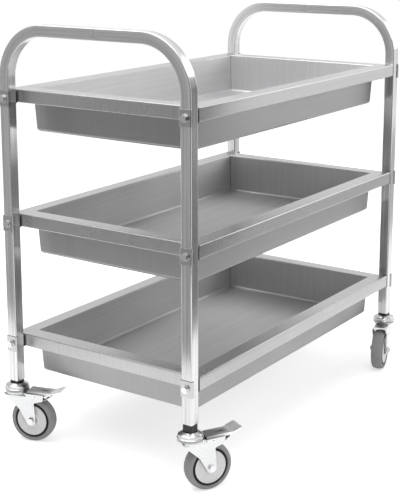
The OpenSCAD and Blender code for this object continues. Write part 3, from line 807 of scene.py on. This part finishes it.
def tyre(sizes, corner):
    """A tyre with a chamfered bead, a fine line moulded in each sidewall and a slightly round
    tread."""
    radius, half, line = sizes.wheel_radius, sizes.tyre_width / 2, sizes.sidewall_line
    seat = radius - sizes.tyre_height
    flat = half - sizes.shoulder
    crown = sizes.tread_radius
    shoulder = radius - (crown - math.sqrt(crown**2 - flat**2)) - sizes.shoulder
    middle = (seat + shoulder) / 2
    side = [(seat + 2 * line, half - 2 * line), (seat + 4 * line, half), (middle - line, half)]
    side += [(middle, half - line), (middle + line, half - line), (middle + 2 * line, half)]
    side += arc_points((shoulder, flat), sizes.shoulder, 90, 0, SHOULDER_STEPS)
    edge = math.degrees(math.asin(flat / crown))
    tread = arc_points((radius - crown, 0), crown, edge, -edge, TREAD_STEPS)[1:-1]
    mesh = turned(side + tread + [(out, -up) for out, up in reversed(side)])
    bmesh.ops.transform(mesh, matrix=caster_place(corner), verts=mesh.verts)
    return mesh


def snap_lips(sizes, corner):
    """The thin lips of a wheel centre that hold the edges of its two covers."""
    inside, outside = sizes.lip_radius, sizes.lip_radius + sizes.lip_width
    foot, top, edge = sizes.lip_foot, sizes.lip_foot + sizes.lip_height, sizes.machined_edge
    under = top - 2 * edge
    lip = [(inside, top - edge), (inside + edge, top), (outside - edge, top), (outside, top - edge)]
    lip += [(outside, foot), (outside - edge, foot), (outside - edge, under), (inside, under)]
    mesh = turned(lip, [(out, -up) for out, up in lip])
    bmesh.ops.transform(mesh, matrix=caster_place(corner), verts=mesh.verts)
    return mesh


def lever(sizes, corner):
    """A brake lever, with its pedal marked on its points for a painted bright reflection."""
    mesh = softened(cleaned_copy(f"brake_lever_{corner}"), sizes.pressed_edge)
    axis = Vector(JOINTS[f"swivel_{corner}_turn"]["pos_m"])
    painted_light_mask = mesh.verts.layers.float.new("painted_light_mask")
    # The pedal's painted reflection blends in with the distance from the swivel axis
    for vert in mesh.verts:
        reach = (vert.co.xy - axis.xy).length
        vert[painted_light_mask] = min(1, max(0, (reach - sizes.pedal_start) / sizes.pedal_blend))
    return mesh


# Stage


def lay_floor(stage):
    """A pale floor that the trolley stands on. It glows for the camera and for reflections, more
    so further off, and keeps the trolley's shadow."""
    mesh = bmesh.new()
    bmesh.ops.create_circle(mesh, cap_ends=True, segments=96, radius=FLOOR_RADIUS)
    data = bpy.data.meshes.new("floor")
    mesh.to_mesh(data)
    mesh.free()
    floor = bpy.data.objects.new("floor", data)
    bpy.context.scene.collection.objects.link(floor)
    made, tree, shader = new_material("pale_floor")
    speck = cloud(tree, own_place(tree), FLOOR_SPECKS, 3)
    tree.links.new(shades(tree, stage.floor, speck, 0.99, 1.01), shader.inputs["Base Color"])
    shader.inputs["Roughness"].default_value = 0.9
    shader.inputs["Specular IOR Level"].default_value = 0.1
    reach = add_node(tree, "ShaderNodeVectorMath", {0: own_place(tree)}, operation="LENGTH")
    distance = reach.outputs["Value"]
    glow = spread(tree, distance, stage.near_glow, stage.far_glow, GLOW_START, GLOW_END)
    seen = spread(tree, background_rays(tree), 0, glow, 0, 1)
    tree.links.new(seen, shader.inputs["Emission Strength"])
    shader.inputs["Emission Color"].default_value = (1, 1, 1, 1)
    data.materials.append(made)


def light_world(stage):
    """White to the camera and in reflections, and a soft fill for everything else."""
    world = bpy.data.worlds.new("studio")
    world.use_nodes = True
    bpy.context.scene.world = world
    tree = world.node_tree
    tree.nodes.clear()
    level = spread(tree, background_rays(tree), stage.fill, 1, 0, 1)
    sky = add_node(tree, "ShaderNodeBackground", {"Color": (1, 1, 1, 1), "Strength": level})
    add_node(tree, "ShaderNodeOutputWorld", {"Surface": sky.outputs["Background"]})


def stand_screen(name, colour, wide, high, place, target):
    """A grey screen out of the picture, for the steel to mirror."""
    mesh = bmesh.new()
    bmesh.ops.create_grid(mesh, x_segments=1, y_segments=1, size=0.5)
    bmesh.ops.scale(mesh, verts=mesh.verts, vec=(wide, high, 1))
    data = bpy.data.meshes.new(name)
    mesh.to_mesh(data)
    mesh.free()
    screen = bpy.data.objects.new(name, data)
    bpy.context.scene.collection.objects.link(screen)
    screen.location = place
    screen.rotation_euler = (Vector(target) - Vector(place)).to_track_quat("Z", "Y").to_euler()
    screen.visible_camera = False
    screen.visible_shadow = False
    screen.visible_diffuse = False
    made, tree, shader = new_material(name)
    weave = cloud(tree, own_place(tree), SCREEN_WEAVE, 3)
    tree.links.new(shades(tree, colour, weave, 0.97, 1.03), shader.inputs["Base Color"])
    shader.inputs["Roughness"].default_value = 0.9
    data.materials.append(made)


def hang_lamp(name, power, place, target):
    """A large soft lamp that faces a point."""
    data = bpy.data.lights.new(name, "AREA")
    data.shape = "SQUARE"
    data.size = LAMP_WIDTH
    data.energy = power
    lamp = bpy.data.objects.new(name, data)
    bpy.context.scene.collection.objects.link(lamp)
    lamp.location = place
    lamp.rotation_euler = (Vector(target) - Vector(place)).to_track_quat("-Z", "Y").to_euler()


def place_camera(stage):
    """A camera at the photographed angle, with its picture shifted to the photographed framing."""
    data = bpy.data.cameras.new("camera")
    camera = bpy.data.objects.new("camera", data)
    bpy.context.scene.collection.objects.link(camera)
    turn, dip, roll = stage.camera_turn, stage.camera_dip, stage.camera_roll
    ahead = Vector((math.sin(turn) * math.cos(dip), math.cos(turn) * math.cos(dip), -math.sin(dip)))
    right = Vector((math.cos(turn), -math.sin(turn), 0))
    down = ahead.cross(right)
    tilted_right = math.cos(roll) * right + math.sin(roll) * down
    tilted_down = math.cos(roll) * down - math.sin(roll) * right
    turned_to = Matrix((tilted_right, -tilted_down, -ahead)).transposed()
    camera.matrix_world = Matrix.Translation(stage.camera_place) @ turned_to.to_4x4()
    data.sensor_fit = "VERTICAL"
    data.sensor_height = 36
    data.lens = stage.focal_pixels / PIXELS_HIGH * data.sensor_height
    data.shift_y = (stage.middle_row - PIXELS_HIGH / 2) / PIXELS_HIGH
    bpy.context.scene.camera = camera


# Operators, one for each group of pieces


class TROLLEY_OT_end_frames(bpy.types.Operator):
    """Model the two end frames of bent square tube"""

    bl_idname = "trolley.end_frames"
    bl_label = "End frames"

    def execute(self, context):
        sizes = context.scene.trolley_sizes
        lifted = TUBE_END + sizes.near_left_lift
        for name, side, near_start in (("left", -1, lifted), ("right", 1, TUBE_END)):
            path = tube_path(sizes, side, near_start, TUBE_END)
            new_piece(
                f"end_tube_{name}", path, "frame", "tube", f"end_frame_{name}",
                doubled=sizes.tube_wall,
            )
        return {"FINISHED"}


class TROLLEY_OT_trays(bpy.types.Operator):
    """Model the three folded trays"""

    bl_idname = "trolley.trays"
    bl_label = "Trays"

    def execute(self, context):
        sizes = context.scene.trolley_sizes
        for tier in TIERS:
            node = f"tray_{tier}"
            new_piece(
                f"tray_sheet_{tier}", tray_sheet(sizes, node), "frame", "sheet", node,
                sharp=FOLD_ANGLE, doubled=sizes.sheet, backing="sheet_back",
            )
        return {"FINISHED"}


class TROLLEY_OT_tray_fixings(bpy.types.Operator):
    """Model the clips, pads, bolts, washers and nuts that hold the trays"""

    bl_idname = "trolley.tray_fixings"
    bl_label = "Tray fixings"

    def execute(self, context):
        sizes = context.scene.trolley_sizes
        edge = sizes.machined_edge
        soft_copy("pressed_clips", "saddle_clips", "frame", "clip", sizes.pressed_edge)
        soft_copy("moulded_pads", "spacer_pads", "frame", "pad", sizes.moulded_edge)
        soft_copy("hexagon_bolts", "tray_bolts", "frame", "bolt", edge)
        soft_copy("flat_washers", "bolt_washers", "frame", "bolt", edge)
        soft_copy("hexagon_nuts", "tray_nuts", "frame", "bolt", edge)
        return {"FINISHED"}


class TROLLEY_OT_caster_tops(bpy.types.Operator):
    """Model the plugs, stems, caps and balls of the casters"""

    bl_idname = "trolley.caster_tops"
    bl_label = "Caster tops"

    def execute(self, context):
        sizes = context.scene.trolley_sizes
        edge = sizes.machined_edge
        soft_copy("moulded_plugs", "stem_plugs", "frame", "plug", sizes.moulded_edge)
        soft_copy("swivel_stems", "stem_bolts", "frame", "zinc", edge)
        soft_copy("plug_cones", "expander_cones", "frame", "zinc", edge)
        soft_copy("pressed_caps", "dust_caps", "frame", "zinc", edge, look="clip")
        new_piece(
            "ball_race", cleaned_copy("race_balls"), "frame", "zinc", "race_balls",
            sharp=BALL_ANGLE,
        )
        return {"FINISHED"}


class TROLLEY_OT_forks(bpy.types.Operator):
    """Model the forks with their races and axles"""

    bl_idname = "trolley.forks"
    bl_label = "Forks"

    def execute(self, context):
        sizes = context.scene.trolley_sizes
        edge = sizes.machined_edge
        for corner in CORNERS:
            body = f"swivel_{corner}"
            soft_copy(f"pressed_fork_{corner}", f"fork_{corner}", body, "zinc", sizes.pressed_edge)
            # The lower races take the darker leaf finish, as painted shade in the groove under the
            # caps
            soft_copy(f"lower_race_{corner}", f"race_{corner}", body, "zinc", edge, look="leaf")
            soft_copy(f"axle_screw_{corner}", f"axle_bolt_{corner}", body, "bolt", edge)
            soft_copy(f"lock_nut_{corner}", f"axle_nut_{corner}", body, "bolt", edge)
            soft_copy(f"bearing_sleeve_{corner}", f"axle_sleeve_{corner}", body, "bolt", edge)
        return {"FINISHED"}


class TROLLEY_OT_wheels(bpy.types.Operator):
    """Model the tyres, wheel centres and covers"""

    bl_idname = "trolley.wheels"
    bl_label = "Wheels"

    def execute(self, context):
        sizes = context.scene.trolley_sizes
        for corner in CORNERS:
            body = f"wheel_{corner}"
            new_piece(f"rubber_tyre_{corner}", tyre(sizes, corner), body, "tyre", f"tyre_{corner}")
            soft_copy(
                f"moulded_centre_{corner}", f"wheel_centre_{corner}", body, "hub",
                sizes.moulded_edge,
            )
            new_piece(f"snap_lips_{corner}", snap_lips(sizes, corner), body, "hub")
            soft_copy(
                f"pale_covers_{corner}", f"wheel_covers_{corner}", body, "cover",
                sizes.machined_edge,
            )
        return {"FINISHED"}


class TROLLEY_OT_brakes(bpy.types.Operator):
    """Model the brake levers, leaves and pins"""

    bl_idname = "trolley.brakes"
    bl_label = "Brakes"

    def execute(self, context):
        sizes = context.scene.trolley_sizes
        for corner in BRAKED:
            body = f"pedal_{corner}"
            # The levers take a painted dark reflection, and their pedals a painted bright one
            new_piece(
                f"pressed_lever_{corner}", lever(sizes, corner), body, "zinc",
                f"brake_lever_{corner}", look="lever",
            )
            soft_copy(
                f"spring_leaf_{corner}", f"brake_leaf_{corner}", body, "leaf", sizes.pressed_edge
            )
            soft_copy(
                f"riveted_pin_{corner}", f"lever_pin_{corner}", f"swivel_{corner}", "bolt",
                sizes.machined_edge,
            )
        return {"FINISHED"}


class TROLLEY_OT_stage(bpy.types.Operator):
    """Set up the floor, the light and the camera"""

    bl_idname = "trolley.stage"
    bl_label = "Stage"

    def execute(self, context):
        stage = context.scene.trolley_stage
        context.scene.view_settings.view_transform = "Standard"
        lay_floor(stage)
        light_world(stage)
        hang_lamp("overhead_lamp", stage.key, place=(-0.5, 0.3, 3.0), target=(0, 0, 0.4))
        hang_lamp("right_lamp", stage.right, place=(4.0, -2.2, 2.3), target=(0, 0, 0.6))
        hang_lamp("left_lamp", stage.left, place=(-1.6, -3.4, 2.2), target=(0, 0, 0.5))
        stand_screen(
            "end_screen", stage.end_screen, wide=1.4, high=1.0,
            place=(-0.95, 0.3, 0.55), target=(0, 0.3, 0.55),
        )
        stand_screen(
            "camera_screen", stage.camera_screen, wide=0.8, high=0.8,
            place=(-0.78, -0.66, 0.67), target=(-0.45, -0.25, 0.67),
        )
        stand_screen(
            "side_screen", stage.side_screen, wide=1.7, high=0.38,
            place=(1.17, -0.75, 0.24), target=(1.17, 0, 0.24),
        )
        stand_screen(
            "leg_screen", stage.leg_screen, wide=0.4, high=1.0,
            place=(0.17, -0.72, 0.55), target=(0.17, 0, 0.55),
        )
        place_camera(stage)
        return {"FINISHED"}


# Panel and registration


class TROLLEY_PT_panel(bpy.types.Panel):
    """Steps that build the trolley"""

    bl_label = "Serving Trolley"
    bl_idname = "TROLLEY_PT_panel"
    bl_space_type = "VIEW_3D"
    bl_region_type = "UI"
    bl_category = "Trolley"

    def draw(self, context):
        for operator in OPERATORS:
            self.layout.operator(operator.bl_idname)
        for group in (getattr(context.scene, name) for name in GROUPS):
            for name in group.bl_rna.properties.keys():
                if name not in ("rna_type", "name"):
                    self.layout.prop(group, name)


GROUPS = {
    "trolley_sizes": TrolleySizes,
    "trolley_colours": TrolleyColours,
    "trolley_stage": TrolleyStage,
}
OPERATORS = (
    TROLLEY_OT_end_frames,
    TROLLEY_OT_trays,
    TROLLEY_OT_tray_fixings,
    TROLLEY_OT_caster_tops,
    TROLLEY_OT_forks,
    TROLLEY_OT_wheels,
    TROLLEY_OT_brakes,
    TROLLEY_OT_stage,
)


def register():
    """Registers the groups, the operators and the panel."""
    for name, group in GROUPS.items():
        bpy.utils.register_class(group)
        setattr(bpy.types.Scene, name, bpy.props.PointerProperty(type=group))
    for operator in OPERATORS:
        bpy.utils.register_class(operator)
    bpy.utils.register_class(TROLLEY_PT_panel)


def unregister():
    """Takes all of them out again."""
    bpy.utils.unregister_class(TROLLEY_PT_panel)
    for operator in reversed(OPERATORS):
        bpy.utils.unregister_class(operator)
    for name, group in reversed(GROUPS.items()):
        delattr(bpy.types.Scene, name)
        bpy.utils.unregister_class(group)


def main():
    """Builds the trolley in order."""
    register()
    bpy.ops.trolley.end_frames()
    bpy.ops.trolley.trays()
    bpy.ops.trolley.tray_fixings()
    bpy.ops.trolley.caster_tops()
    bpy.ops.trolley.forks()
    bpy.ops.trolley.wheels()
    bpy.ops.trolley.brakes()
    bpy.ops.trolley.stage()


if __name__ == "__main__":
    main()
